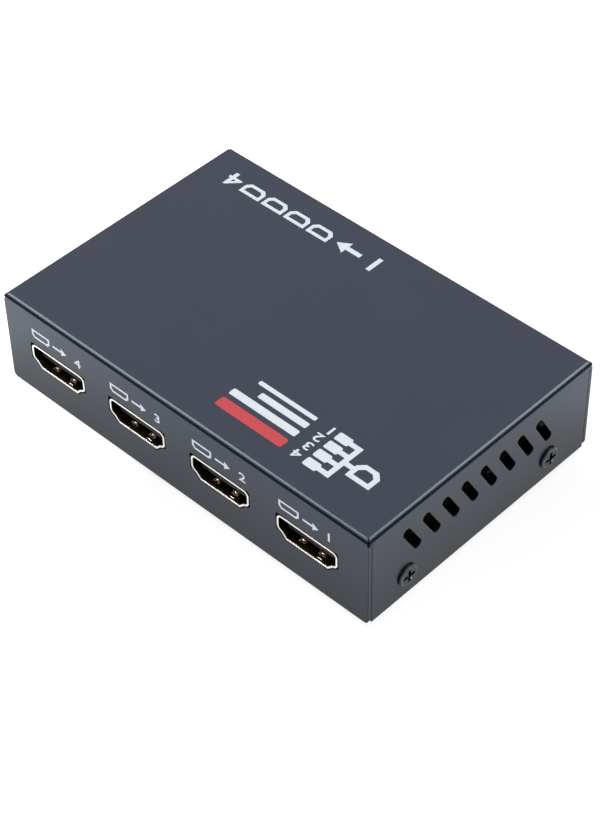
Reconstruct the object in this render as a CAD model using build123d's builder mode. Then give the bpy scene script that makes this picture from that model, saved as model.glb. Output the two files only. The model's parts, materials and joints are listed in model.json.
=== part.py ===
from build123d import *
import os
from itertools import product

os.makedirs("parts", exist_ok=True)

# A one-in, four-out HDMI splitter box, in millimetres. The origin is on the table under the
# middle of the box, +X runs along the row of outputs, the outputs face -Y and +Z is up.

# Shared values: one overrun for every cut, one lap where two runs of a piece are one solid
overrun = 1.0
lap = 0.3

# Screw bores that other pieces hide are cut with flat sides, which keeps the faces of repeated holes few
bore_sides = 12

# Folded sheet-metal case, outside sizes of the lid
case_width = 94.8
case_depth = 61.5
case_height = 21.7
sheet = 0.8
bend_outside = 0.9
wall_corner_radius = 1.0
seam_gap = 0.15
relief_size = 0.5

# Slanted vent slots in both side walls, placed from the middle of the wall and its lower edge
vent_count = 8
vent_pitch = 5.2
vent_length = 7.8
vent_width = 2.0
vent_end_chamfer = 0.58
vent_tilt = 30
vent_row_shift = -1.1
vent_height = 13.55

# Base tray that closes the lid
tray_clearance = 0.15
tray_flange_height = 8.0
tray_lip_height = 3.0
tray_corner_notch = 1.6
nut_radius = 2.4
nut_length = 1.5

# Rubber feet
foot_size = 8.5
foot_corner_chamfer = 1.0
foot_height = 1.2
foot_inset = 9.0

# Low pan-head screws that hold the lid to the tray flanges
cover_screw_head_radius = 2.35
cover_screw_head_height = 0.65
cover_screw_radius = 1.25
cover_screw_length = 4.0
cover_screw_height = 5.1
cover_screw_inset = 10.9
cover_screw_shift = -0.65
cover_hole_clearance = 0.2
thread_clearance = 0.05

# Cross recess of the cover screws
cross_length = 2.9
cross_width = 0.7
cross_depth = 0.5

# Circuit board on its standoffs, with gaps from the outside of the lid
board_end_gap = 5.4
board_wall_gap = 1.45
board_thickness = 1.6
board_hole_inset = 5.0
standoff_height = 5.1
standoff_radius = 2.6
standoff_head_radius = 3.1
standoff_head_clearance = 0.02
board_screw_head_radius = 2.75
board_screw_head_height = 1.8
board_screw_radius = 1.45
board_screw_length = 5.0
board_screw_gap = 1.25
board_hole_clearance = 0.15

# Receptacle opening, seen from the front, measured on the inside of the shell
opening_width = 14.0
opening_height = 4.55
opening_foot_height = 1.65
opening_ledge_width = 12.0
opening_ledge_height = 1.15
opening_floor_width = 9.8
opening_top_radius = 0.8
opening_foot_radius = 0.8
cutout_clearance = 0.3

# Receptacle shell with its spring tabs and board legs, depths measured from the mouth
shell_wall = 0.4
shell_length = 11.5
tab_spacing = 4.8
tab_width = 1.7
tab_slot = 0.35
tab_tip_depth = 1.3
tab_bump_depth = 2.1
tab_root_depth = 6.6
tab_rise = 0.32
tab_curl = 0.27
leg_width = 1.2
leg_reach = 2.3
leg_depths = (3.0, 9.0)
leg_clearance = 0.15

# Moulded insulator with its tongue, and the contacts on both faces of the tongue
insulator_clearance = 0.03
block_depth = 7.4
tongue_width = 11.4
tongue_thickness = 1.4
tongue_recess = 1.1
tongue_nose = 0.3
tongue_rise = 1.6
contact_pitch = 1.0
contact_width = 0.35
contact_thickness = 0.14
contact_clearance = 0.02
upper_contact_count = 10
lower_contact_count = 9
tail_gap = 0.3

# Ports: four outputs in the front wall, one input in the back wall
output_count = 4
port_end_gap = 14.55
port_row_shift = -0.25

# DC jack in the back wall, depths measured from its face
jack_inset = 17.4
jack_width = 9.0
jack_height = 11.0
jack_length = 12.6
jack_axis_height = 6.4
jack_wall_gap = 0.3
jack_collar_radius = 4.0
jack_collar_recess = 0.2
jack_hole_clearance = 0.2
jack_bore_radius = 3.2
jack_bore_depth = 10.4
jack_edge_chamfer = 0.5
jack_pin_radius = 1.05
jack_pin_recess = 1.4
jack_pin_clearance = 0.02
jack_tail_width = 2.4
jack_tail_thickness = 0.5
jack_tail_reach = 2.3
jack_tail_clearance = 0.15
jack_spring_width = 2.0
jack_spring_thickness = 0.35
jack_spring_tip_depth = 2.6
jack_spring_bump_depth = 4.2
jack_spring_root_depth = 8.6
jack_spring_drop = 0.9
jack_spring_rise = 0.5

# Power light in the back wall beside the jack, with its holder and its two leads
light_gap = 3.7
light_axis_height = 4.4
light_radius = 1.5
light_recess = 0.1
light_bevel = 0.5
light_length = 5.2
light_hole_clearance = 0.1
light_holder_width = 4.6
light_holder_length = 4.0
light_holder_clearance = 0.05
light_lead_spacing = 2.54
light_lead_size = 0.5
light_lead_run = 1.6

# Chips and small parts on the board, with their places as shares of the board's sizes
splitter_size = 12.0
splitter_height = 0.9
splitter_corner_chamfer = 0.8
memory_length = 4.9
memory_width = 3.9
memory_height = 1.5
memory_lead_count = 4
memory_lead_pitch = 1.27
memory_lead_width = 0.42
memory_lead_thickness = 0.2
memory_lead_span = 6.0
memory_place_shares = (-0.285, -0.11)
crystal_length = 11.0
crystal_width = 4.6
crystal_height = 3.4
crystal_rim = 0.3
crystal_rim_height = 0.5
crystal_place_shares = (-0.265, 0.09)
regulator_length = 6.5
regulator_width = 3.5
regulator_height = 1.6
regulator_span = 7.0
regulator_tab_width = 3.0
regulator_lead_count = 3
regulator_lead_width = 0.7
regulator_lead_pitch = 2.3
regulator_lead_thickness = 0.3
regulator_place_shares = (0.235, 0.135)
inductor_size = 6.0
inductor_height = 2.8
inductor_corner_chamfer = 1.2
inductor_place_shares = (0.345, 0.1)
filter_radius = 3.15
filter_height = 5.4
filter_base_size = 6.6
filter_base_height = 0.7
filter_place_shares = ((0.245, -0.07), (0.345, -0.07))
surge_length = 2.5
surge_width = 1.0
surge_height = 0.6
surge_spacing = 6.0
surge_gap = 0.8
chip_part_length = 1.6
chip_part_width = 0.8
chip_part_pitch = 2.4
chip_part_gap = 2.0
resistor_height = 0.45
resistor_count = 6
capacitor_height = 0.8
capacitor_count = 5

# Levels and places that follow from the sizes above
case_floor = foot_height
case_top = case_floor + case_height
bend_floor = case_top - bend_outside
tray_width = case_width - 2 * sheet - 2 * tray_clearance
tray_depth = case_depth - 2 * sheet - 2 * tray_clearance
foot_spacing_x = case_width - 2 * foot_inset
foot_spacing_y = case_depth - 2 * foot_inset
board_width = case_width - 2 * board_end_gap
board_depth = case_depth - 2 * board_wall_gap
board_floor = case_floor + sheet + standoff_height
board_top = board_floor + board_thickness
port_pitch = (case_width - 2 * port_end_gap) / (output_count - 1)
output_places = [port_row_shift + (output_count / 2 - 0.5 - n) * port_pitch for n in range(output_count)]
input_across = port_row_shift - port_pitch / 2
shell_height = opening_height + 2 * shell_wall
leg_across = (opening_width + shell_wall) / 2
leg_top = shell_wall + opening_foot_height + opening_foot_radius
tongue_floor = shell_wall + tongue_rise
tongue_top = tongue_floor + tongue_thickness
contact_start = tongue_recess + tongue_nose
tail_depth = shell_length + tail_gap
surge_depth = tail_depth + contact_thickness + surge_gap + surge_width / 2
board_screw_depth = surge_depth + surge_width / 2 + board_screw_gap + board_screw_head_radius
board_hole_spacing_x = board_width - 2 * board_hole_inset
board_hole_spacing_y = case_depth - 2 * board_screw_depth
jack_across = case_width / 2 - jack_inset
jack_face = case_depth / 2 - jack_collar_recess
jack_front = case_depth / 2 - sheet - jack_wall_gap
jack_back = jack_front - jack_length
jack_axis = board_top + jack_axis_height
jack_spring_root = jack_face - jack_spring_root_depth
light_across = jack_across - jack_width / 2 - light_gap - light_holder_width / 2
light_face = case_depth / 2 - light_recess
light_back = light_face - light_length
light_axis = board_top + light_axis_height
cover_screw_reach = case_depth / 2 - cover_screw_inset
side_screw_places = [
    (cover_screw_shift + side * cover_screw_reach, case_floor + cover_screw_height) for side in (-1, 1)
]

# Each receptacle's mouth: across the case, its wall's face, and which way is into the case
mouths = [(across, -case_depth / 2, 1) for across in output_places]
mouths.append((input_across, case_depth / 2, -1))

# Ways to stand a box on a point, hang it from one, or start it there along Y
standing = (Align.CENTER, Align.CENTER, Align.MIN)
hanging = (Align.CENTER, Align.CENTER, Align.MAX)

# Outline of a receptacle's opening with its floor on the sketch's X axis: straight sides, a
# ledge on each side and slanted lower corners
with BuildSketch() as sharp_opening:
    with BuildLine():
        Polyline(
            (opening_floor_width / 2, 0),
            (opening_ledge_width / 2, opening_ledge_height),
            (opening_width / 2, opening_foot_height),
            (opening_width / 2, opening_height),
            (-opening_width / 2, opening_height),
            (-opening_width / 2, opening_foot_height),
            (-opening_ledge_width / 2, opening_ledge_height),
            (-opening_floor_width / 2, 0),
            close=True,
        )
    make_face()

with BuildSketch() as opening:
    add(sharp_opening.sketch)
    fillet(opening.vertices().group_by(Axis.Y)[3], opening_top_radius)
    fillet(opening.vertices().group_by(Axis.Y)[2], opening_foot_radius)

# The cut-out that clears a receptacle's shell all round, with its corners cut across
with BuildSketch() as port_cutout:
    add(sharp_opening.sketch)
    offset(amount=shell_wall + cutout_clearance, kind=Kind.INTERSECTION)
    chamfer(port_cutout.vertices().group_by(Axis.Y)[3], opening_top_radius / 2)
    chamfer(port_cutout.vertices().group_by(Axis.Y)[2], opening_foot_radius / 4)


# The slits at the four corners of the lid: a seam behind the end of the front or back wall, a
# mitre through the two bends, and a flat cut where the side bend passes over that end
with BuildPart() as corner_slits:
    with Locations((case_width / 2, sheet + seam_gap / 2 - case_depth / 2, bend_floor)):
        Box(2 * (sheet + lap), seam_gap, case_height, align=hanging)
    with BuildSketch(Plane.XY.offset(bend_floor - seam_gap)):
        with BuildLine():
            Polyline(
                (case_width / 2 + lap, -case_depth / 2 - lap),
                (case_width / 2 + lap, sheet + seam_gap - case_depth / 2),
                (case_width / 2 - sheet - seam_gap, sheet + seam_gap - case_depth / 2),
                close=True,
            )
        make_face()
    extrude(amount=seam_gap)
    with Locations(Location((case_width / 2, -case_depth / 2, bend_floor - seam_gap), (0, 0, -45))):
        Box(2 * bend_outside * 2**0.5, seam_gap, 2 * bend_outside, align=standing)
    with Locations(Location((case_width / 2, -case_depth / 2, bend_floor), (0, 0, -45))):
        Box(2 * relief_size, relief_size, relief_size, align=hanging)
    mirror(about=Plane.YZ)
    mirror(about=Plane.XZ)

# Top cover: one sheet folded down on four sides and open at the bottom
with BuildPart() as top_cover:
    with BuildSketch(Plane.XY.offset(case_floor)):
        Rectangle(case_width, case_depth)
    extrude(amount=case_height)
    fillet(top_cover.faces().sort_by(Axis.Z)[-1].edges(), bend_outside)
    with BuildSketch(Plane.XY.offset(case_floor)):
        Rectangle(case_width - 2 * sheet, case_depth - 2 * sheet)
    extrude(amount=case_height - sheet, mode=Mode.SUBTRACT)
    add(corner_slits.part, mode=Mode.SUBTRACT)
    # Front and back walls run the full width, and their free lower corners are rounded
    low_edges = top_cover.edges().filter_by(Axis.Y).group_by(Axis.Z)[0]
    fillet(low_edges.group_by(SortBy.LENGTH)[0], wall_corner_radius)
    # Cut-outs for the outputs in the front wall
    with BuildSketch(Plane.XZ.offset(case_depth / 2 + overrun)):
        with Locations(*[(across, board_top + shell_wall) for across in output_places]):
            add(port_cutout.sketch)
    extrude(amount=-sheet - 2 * overrun, mode=Mode.SUBTRACT)
    # Openings for the input, the jack and the light in the back wall
    with BuildSketch(Plane.XZ.offset(-case_depth / 2 - overrun)):
        with Locations((input_across, board_top + shell_wall)):
            add(port_cutout.sketch)
        with Locations((jack_across, jack_axis)):
            Circle(jack_collar_radius + jack_hole_clearance)
        with Locations((light_across, light_axis)):
            Circle(light_radius + light_hole_clearance)
    extrude(amount=sheet + 2 * overrun, mode=Mode.SUBTRACT)
    # Vent slots and screw holes through both side walls
    with BuildSketch(Plane.YZ.offset(-case_width / 2 - overrun)) as side_openings:
        with Locations((vent_row_shift, case_floor + vent_height)):
            with GridLocations(vent_pitch, vent_length, vent_count, 1):
                Rectangle(vent_width, vent_length, rotation=vent_tilt)
        chamfer(side_openings.vertices(), vent_end_chamfer)
        with Locations(*side_screw_places):
            RegularPolygon(cover_screw_radius + cover_hole_clearance, bore_sides, major_radius=False)
    extrude(amount=case_width + 2 * overrun, mode=Mode.SUBTRACT)
top_cover.part.label = "top_cover"
export_step(top_cover.part, "parts/top_cover.step")

# Base tray: a floor with two tall side flanges and two low lips, notched at its corners
with BuildPart() as base_tray:
    with BuildSketch(Plane.XY.offset(case_floor)):
        Rectangle(tray_width, tray_depth)
    extrude(amount=tray_flange_height)
    fillet(base_tray.faces().sort_by(Axis.Z)[0].edges(), bend_outside)
    with BuildSketch(Plane.XY.offset(case_floor + sheet)):
        Rectangle(tray_width - 2 * sheet, tray_depth - 2 * sheet)
    extrude(amount=tray_flange_height, mode=Mode.SUBTRACT)
    with BuildSketch(Plane.XY.offset(case_floor + tray_lip_height)):
        Rectangle(tray_width - 2 * sheet, tray_depth + overrun)
    extrude(amount=tray_flange_height, mode=Mode.SUBTRACT)
    with BuildSketch(Plane.XY.offset(case_floor - overrun)):
        with GridLocations(tray_width, tray_depth, 2, 2):
            Rectangle(2 * tray_corner_notch, 2 * tray_corner_notch)
    extrude(amount=tray_flange_height + 2 * overrun, mode=Mode.SUBTRACT)
    # Nuts pressed into the flanges take the cover screws
    with BuildSketch(Plane.YZ.offset(tray_width / 2 - sheet - nut_length)):
        with Locations(*side_screw_places):
            RegularPolygon(nut_radius, 6)
    extrude(amount=nut_length)
    with BuildSketch(Plane.YZ.offset(sheet - tray_width / 2)):
        with Locations(*side_screw_places):
            RegularPolygon(nut_radius, 6)
    extrude(amount=nut_length)
    with BuildSketch(Plane.YZ.offset(-tray_width / 2 - overrun)):
        with Locations(*side_screw_places):
            RegularPolygon(cover_screw_radius + thread_clearance, bore_sides, major_radius=False)
    extrude(amount=tray_width + 2 * overrun, mode=Mode.SUBTRACT)
    with BuildSketch(Plane.XY.offset(case_floor - overrun)):
        with GridLocations(board_hole_spacing_x, board_hole_spacing_y, 2, 2):
            RegularPolygon(standoff_head_radius + standoff_head_clearance, 6)
    extrude(amount=sheet + 2 * overrun, mode=Mode.SUBTRACT)
base_tray.part.label = "base_tray"
export_step(base_tray.part, "parts/base_tray.step")

# Square rubber pads with cut corners
with BuildPart() as rubber_feet:
    with BuildSketch() as foot_outlines:
        with GridLocations(foot_spacing_x, foot_spacing_y, 2, 2):
            Rectangle(foot_size, foot_size)
        chamfer(foot_outlines.vertices(), foot_corner_chamfer)
    extrude(amount=foot_height)
rubber_feet.part.label = "rubber_feet"
export_step(rubber_feet.part, "parts/rubber_feet.step")

# Cross-recessed pan-head screw along Z, with the underside of its head at zero
with BuildPart() as pan_screw:
    Cylinder(cover_screw_head_radius, cover_screw_head_height, align=standing)
    chamfer(pan_screw.edges().group_by(Axis.Z)[-1], cover_screw_head_height / 2)
    with BuildSketch(Plane.XY.offset(cover_screw_head_height)):
        Rectangle(cross_length, cross_width)
        Rectangle(cross_width, cross_length)
    extrude(amount=-cross_depth, mode=Mode.SUBTRACT)
    Cylinder(cover_screw_radius, cover_screw_length, align=hanging)

with BuildPart() as cover_screws:
    for side in (-1, 1):
        heads = [Location((side * case_width / 2, y, z), (0, side * 90, 0)) for y, z in side_screw_places]
        with Locations(*heads):
            add(pan_screw.part)
cover_screws.part.label = "cover_screws"
export_step(cover_screws.part, "parts/cover_screws.step")

# Hexagonal standoffs, with wider heads pressed flush into the floor of the tray
with BuildPart() as board_standoffs:
    with BuildSketch(Plane.XY.offset(case_floor)):
        with GridLocations(board_hole_spacing_x, board_hole_spacing_y, 2, 2):
            RegularPolygon(standoff_head_radius, 6)
    extrude(amount=sheet)
    with BuildSketch(Plane.XY.offset(case_floor + sheet)):
        with GridLocations(board_hole_spacing_x, board_hole_spacing_y, 2, 2):
            RegularPolygon(standoff_radius, 6)
    extrude(amount=standoff_height)
    with BuildSketch(Plane.XY.offset(case_floor - overrun)):
        with GridLocations(board_hole_spacing_x, board_hole_spacing_y, 2, 2):
            RegularPolygon(board_screw_radius + thread_clearance, bore_sides, major_radius=False)
    extrude(amount=standoff_height + sheet + 2 * overrun, mode=Mode.SUBTRACT)
board_standoffs.part.label = "board_standoffs"
export_step(board_standoffs.part, "parts/board_standoffs.step")

with BuildPart() as board_screws:
    with BuildSketch(Plane.XY.offset(board_top)):
        with GridLocations(board_hole_spacing_x, board_hole_spacing_y, 2, 2):
            RegularPolygon(board_screw_head_radius, 6)
    extrude(amount=board_screw_head_height)
    with Locations((0, 0, board_top)):
        with GridLocations(board_hole_spacing_x, board_hole_spacing_y, 2, 2):
            Cylinder(board_screw_radius, board_screw_length, align=hanging)
board_screws.part.label = "board_screws"
export_step(board_screws.part, "parts/board_screws.step")

# Circuit board with its screw holes and the slots for every leg and tail that passes through
with BuildPart() as circuit_board:
    with BuildSketch(Plane.XY.offset(board_floor)):
        Rectangle(board_width, board_depth)
        with GridLocations(board_hole_spacing_x, board_hole_spacing_y, 2, 2):
            bore_radius = board_screw_radius + board_hole_clearance
            RegularPolygon(bore_radius, bore_sides, major_radius=False, mode=Mode.SUBTRACT)
        for (across, face, inward), side, depth in product(mouths, (-1, 1), leg_depths):
            with Locations((across + side * leg_across, face + inward * depth)):
                Rectangle(shell_wall + 2 * leg_clearance, leg_width + 2 * leg_clearance, mode=Mode.SUBTRACT)
        with Locations((jack_across, jack_back - jack_tail_thickness / 2)):
            Rectangle(
                jack_tail_width + 2 * jack_tail_clearance,
                jack_tail_thickness + 2 * jack_tail_clearance,
                mode=Mode.SUBTRACT,
            )
        with Locations((jack_across, jack_spring_root + jack_spring_thickness / 2)):
            Rectangle(
                jack_spring_width + 2 * jack_tail_clearance,
                jack_spring_thickness + 2 * jack_tail_clearance,
                mode=Mode.SUBTRACT,
            )
        with Locations((light_across, light_back - light_lead_run + light_lead_size / 2)):
            with GridLocations(light_lead_spacing, light_lead_spacing, 2, 1):
                Rectangle(
                    light_lead_size + 2 * leg_clearance, light_lead_size + 2 * leg_clearance, mode=Mode.SUBTRACT
                )
    extrude(amount=board_thickness)
circuit_board.part.label = "circuit_board"
export_step(circuit_board.part, "parts/circuit_board.step")

# One spring tab, in the sheet of the shell: rooted at the back, bent inwards to a bump and
# curled back at its tip, with the outside of the shell at zero
with BuildPart() as spring_tab:
    with BuildSketch(Plane.YZ.offset(-tab_width / 2)):
        with BuildLine():
            Polyline(
                (tab_root_depth + lap, 0),
                (tab_root_depth, 0),
                (tab_bump_depth, tab_rise),
                (tab_tip_depth, tab_rise - tab_curl),
                (tab_tip_depth, tab_rise - tab_curl + shell_wall),
                (tab_bump_depth, tab_rise + shell_wall),
                (tab_root_depth, shell_wall),
                (tab_root_depth + lap, shell_wall),
                close=True,
            )
        make_face()
    extrude(amount=tab_width)

# Receptacle shell with its mouth at the origin, standing on the board and running into +Y
with BuildPart() as receptacle_shell:
    with BuildSketch(Plane.XZ):
        with Locations((0, shell_wall)):
            add(opening.sketch)
        offset(amount=shell_wall, kind=Kind.INTERSECTION)
        with Locations((0, shell_wall)):
            add(opening.sketch, mode=Mode.SUBTRACT)
    extrude(amount=-shell_length)
    # Windows in the floor and the roof, with a spring tab in each
    for across, level in product((-tab_spacing / 2, tab_spacing / 2), (0, shell_height)):
        with Locations((across, tab_tip_depth - tab_slot, level)):
            Box(
                tab_width + 2 * tab_slot,
                tab_root_depth - tab_tip_depth + tab_slot,
                3 * shell_wall,
                align=(Align.CENTER, Align.MIN, Align.CENTER),
                mode=Mode.SUBTRACT,
            )
    with Locations((-tab_spacing / 2, 0, 0), (tab_spacing / 2, 0, 0)):
        add(spring_tab.part)
    with Locations(*[Location((side * tab_spacing / 2, 0, shell_height), (0, 180, 0)) for side in (-1, 1)]):
        add(spring_tab.part)
    # Legs go down through the board from both sides
    for side, depth in product((-1, 1), leg_depths):
        with Locations((side * leg_across, depth, leg_top)):
            Box(shell_wall, leg_width, leg_top + leg_reach, align=hanging)

# Insulator: a block that fills the back of the shell and a tongue that stands in the mouth
with BuildPart() as receptacle_insulator:
    with BuildSketch(Plane.XZ.offset(-block_depth)) as block_outline:
        with Locations((0, shell_wall)):
            add(sharp_opening.sketch)
        offset(amount=-insulator_clearance, kind=Kind.INTERSECTION)
        chamfer(block_outline.vertices().group_by(Axis.Y)[3], opening_top_radius)
        chamfer(block_outline.vertices().group_by(Axis.Y)[2], opening_foot_radius / 2)
    extrude(amount=block_depth - shell_length)
    with BuildSketch(Plane.YZ) as tongue_side:
        with Locations((tongue_recess, tongue_floor)):
            Rectangle(
                block_depth + lap - tongue_recess, tongue_thickness, align=(Align.MIN, Align.MIN)
            )
        chamfer(tongue_side.vertices().group_by(Axis.X)[0], tongue_nose)
    extrude(amount=tongue_width / 2, both=True)
    # Slits that the contacts pass through, on top of the tongue and under it
    slit_height = contact_thickness + contact_clearance
    with Locations((0, block_depth, tongue_top)):
        Box(
            upper_contact_count * contact_pitch,
            shell_length - block_depth + overrun,
            slit_height,
            align=(Align.CENTER, Align.MIN, Align.MIN),
            mode=Mode.SUBTRACT,
        )
    with Locations((0, block_depth, tongue_floor)):
        Box(
            lower_contact_count * contact_pitch,
            shell_length - block_depth + overrun,
            slit_height,
            align=(Align.CENTER, Align.MIN, Align.MAX),
            mode=Mode.SUBTRACT,
        )


def contact(strip_floor):
    # A strip along the tongue and a tail behind the block, down to its pad on the board
    with BuildPart() as strip:
        with BuildSketch(Plane.YZ.offset(-contact_width / 2)):
            with BuildLine():
                Polyline(
                    (contact_start, strip_floor + contact_thickness),
                    (tail_depth + contact_thickness, strip_floor + contact_thickness),
                    (tail_depth + contact_thickness, 0),
                    (tail_depth, 0),
                    (tail_depth, strip_floor),
                    (contact_start, strip_floor),
                    close=True,
                )
            make_face()
        extrude(amount=contact_width)
    return strip.part


with BuildPart() as receptacle_contacts:
    with GridLocations(contact_pitch, contact_pitch, upper_contact_count, 1):
        add(contact(tongue_top))
    with GridLocations(contact_pitch, contact_pitch, lower_contact_count, 1):
        add(contact(tongue_floor - contact_thickness))

# Output receptacles, numbered from +X, and then the input receptacle, turned to face +Y
for number, across in enumerate(output_places, start=1):
    with BuildPart() as output_shell:
        with Locations((across, -case_depth / 2, board_top)):
            add(receptacle_shell.part)
    output_shell.part.label = f"output_shell_{number}"
    export_step(output_shell.part, f"parts/output_shell_{number}.step")

    with BuildPart() as output_insulator:
        with Locations((across, -case_depth / 2, board_top)):
            add(receptacle_insulator.part)
    output_insulator.part.label = f"output_insulator_{number}"
    export_step(output_insulator.part, f"parts/output_insulator_{number}.step")

    with BuildPart() as output_contacts:
        with Locations((across, -case_depth / 2, board_top)):
            add(receptacle_contacts.part)
    output_contacts.part.label = f"output_contacts_{number}"
    export_step(output_contacts.part, f"parts/output_contacts_{number}.step")

input_mouth = Location((input_across, case_depth / 2, board_top), (0, 0, 180))
with BuildPart() as input_shell:
    with Locations(input_mouth):
        add(receptacle_shell.part)
input_shell.part.label = "input_shell"
export_step(input_shell.part, "parts/input_shell.step")

with BuildPart() as input_insulator:
    with Locations(input_mouth):
        add(receptacle_insulator.part)
input_insulator.part.label = "input_insulator"
export_step(input_insulator.part, "parts/input_insulator.step")

with BuildPart() as input_contacts:
    with Locations(input_mouth):
        add(receptacle_contacts.part)
input_contacts.part.label = "input_contacts"
export_step(input_contacts.part, "parts/input_contacts.step")

# DC jack housing: a block behind the wall with a round collar in the wall's hole
with BuildPart() as jack_housing:
    with Locations((jack_across, jack_front, board_top)):
        Box(jack_width, jack_length, jack_height, align=(Align.CENTER, Align.MAX, Align.MIN))
    chamfer(jack_housing.edges().filter_by(Axis.Y).group_by(Axis.Z)[-1], jack_edge_chamfer)
    with BuildSketch(Plane.XZ.offset(-jack_face)):
        with Locations((jack_across, jack_axis)):
            Circle(jack_collar_radius)
    extrude(amount=jack_face - jack_front + lap)
    with BuildSketch(Plane.XZ.offset(-jack_face)):
        with Locations((jack_across, jack_axis)):
            Circle(jack_bore_radius)
    extrude(amount=jack_bore_depth, mode=Mode.SUBTRACT)
    with BuildSketch(Plane.XZ.offset(-jack_face)):
        with Locations((jack_across, jack_axis)):
            Circle(jack_pin_radius + jack_pin_clearance)
    extrude(amount=jack_face - jack_back + overrun, mode=Mode.SUBTRACT)
    # Chamber under the bore for the spring contact, open at the bottom
    with Locations((jack_across, jack_spring_root - jack_tail_clearance, jack_axis - jack_bore_radius + lap)):
        Box(
            jack_spring_width + 2 * jack_tail_clearance,
            jack_spring_root_depth - jack_spring_tip_depth + 2 * jack_tail_clearance,
            jack_height,
            align=(Align.CENTER, Align.MIN, Align.MAX),
            mode=Mode.SUBTRACT,
        )
jack_housing.part.label = "jack_housing"
export_step(jack_housing.part, "parts/jack_housing.step")

# Centre pin, through the back of the housing to a flat tail that goes down through the board
with BuildPart() as jack_pin:
    with BuildSketch(Plane.XZ.offset(jack_pin_recess - jack_face)):
        with Locations((jack_across, jack_axis)):
            Circle(jack_pin_radius)
    extrude(amount=jack_face - jack_pin_recess - jack_back)
    chamfer(jack_pin.edges().sort_by(Axis.Y)[-1], jack_pin_radius / 3)
    with Locations((jack_across, jack_back, jack_axis + jack_pin_radius)):
        Box(
            jack_tail_width,
            jack_tail_thickness,
            jack_pin_radius + jack_axis_height + jack_tail_reach,
            align=(Align.CENTER, Align.MAX, Align.MAX),
        )
jack_pin.part.label = "jack_pin"
export_step(jack_pin.part, "parts/jack_pin.step")

# Spring contact: a bent arm under the bore and a tail down through the board
with BuildPart() as jack_spring:
    arm_floor = jack_axis - jack_bore_radius - jack_spring_drop
    bump_top = jack_axis - jack_bore_radius + jack_spring_rise
    with BuildSketch(Plane.YZ.offset(jack_across - jack_spring_width / 2)):
        with BuildLine():
            Polyline(
                (jack_spring_root, board_top - jack_tail_reach),
                (jack_spring_root + jack_spring_thickness, board_top - jack_tail_reach),
                (jack_spring_root + jack_spring_thickness, arm_floor),
                (jack_face - jack_spring_bump_depth, bump_top - jack_spring_thickness),
                (jack_face - jack_spring_tip_depth, arm_floor),
                (jack_face - jack_spring_tip_depth, arm_floor + jack_spring_thickness),
                (jack_face - jack_spring_bump_depth, bump_top),
                (jack_spring_root, arm_floor + jack_spring_thickness),
                close=True,
            )
        make_face()
    extrude(amount=jack_spring_width)
jack_spring.part.label = "jack_spring"
export_step(jack_spring.part, "parts/jack_spring.step")

# Power light: a round body with a bevelled nose
with BuildPart() as power_light:
    with BuildSketch(Plane.XZ.offset(-light_back)):
        with Locations((light_across, light_axis)):
            Circle(light_radius)
    extrude(amount=-light_length)
    chamfer(power_light.edges().sort_by(Axis.Y)[-1], light_bevel)
power_light.part.label = "power_light"
export_step(power_light.part, "parts/power_light.step")

with BuildPart() as light_leads:
    with Locations((light_across, 0, 0)):
        with GridLocations(light_lead_spacing, light_lead_spacing, 2, 1):
            with Locations((0, light_back, light_axis)):
                Box(
                    light_lead_size, light_lead_run, light_lead_size, align=(Align.CENTER, Align.MAX, Align.CENTER)
                )
            with Locations((0, light_back - light_lead_run, light_axis + light_lead_size / 2)):
                Box(
                    light_lead_size,
                    light_lead_size,
                    light_lead_size / 2 + light_axis_height + leg_reach,
                    align=(Align.CENTER, Align.MIN, Align.MAX),
                )
light_leads.part.label = "light_leads"
export_step(light_leads.part, "parts/light_leads.step")

# Holder: a block with a cradle for the light, up to its axis
with BuildPart() as light_holder:
    with Locations((light_across, light_back, board_top)):
        Box(
            light_holder_width, light_holder_length, light_axis_height, align=(Align.CENTER, Align.MIN, Align.MIN)
        )
    with BuildSketch(Plane.XZ.offset(overrun - light_back)):
        with Locations((light_across, light_axis)):
            Circle(light_radius + light_holder_clearance)
    extrude(amount=-light_holder_length - 2 * overrun, mode=Mode.SUBTRACT)
light_holder.part.label = "light_holder"
export_step(light_holder.part, "parts/light_holder.step")


def on_board(shares):
    # A place on the top of the board from shares of its width and depth
    return Location((shares[0] * board_width, shares[1] * board_depth, board_top))


with BuildPart() as splitter_chip:
    with Locations((0, 0, board_top)):
        Box(splitter_size, splitter_size, splitter_height, align=standing)
    # The cut corner marks the first contact
    chamfer(splitter_chip.edges().filter_by(Axis.Z).sort_by(Axis.X)[0], splitter_corner_chamfer)
splitter_chip.part.label = "splitter_chip"
export_step(splitter_chip.part, "parts/splitter_chip.step")

with BuildPart() as memory_chip:
    with Locations(on_board(memory_place_shares)):
        Box(memory_width, memory_length, memory_height, align=standing)
        with GridLocations(memory_width, memory_lead_pitch, 1, memory_lead_count):
            Box(memory_lead_span, memory_lead_width, memory_lead_thickness, align=standing)
memory_chip.part.label = "memory_chip"
export_step(memory_chip.part, "parts/memory_chip.step")

# Crystal: a drawn oval can on a wider rim
with BuildPart() as crystal:
    crystal_base = Plane(on_board(crystal_place_shares))
    with BuildSketch(crystal_base):
        SlotOverall(crystal_length, crystal_width, rotation=90)
    extrude(amount=crystal_height)
    with BuildSketch(crystal_base):
        SlotOverall(crystal_length + 2 * crystal_rim, crystal_width + 2 * crystal_rim, rotation=90)
    extrude(amount=crystal_rim_height)
crystal.part.label = "crystal"
export_step(crystal.part, "parts/crystal.step")

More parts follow.
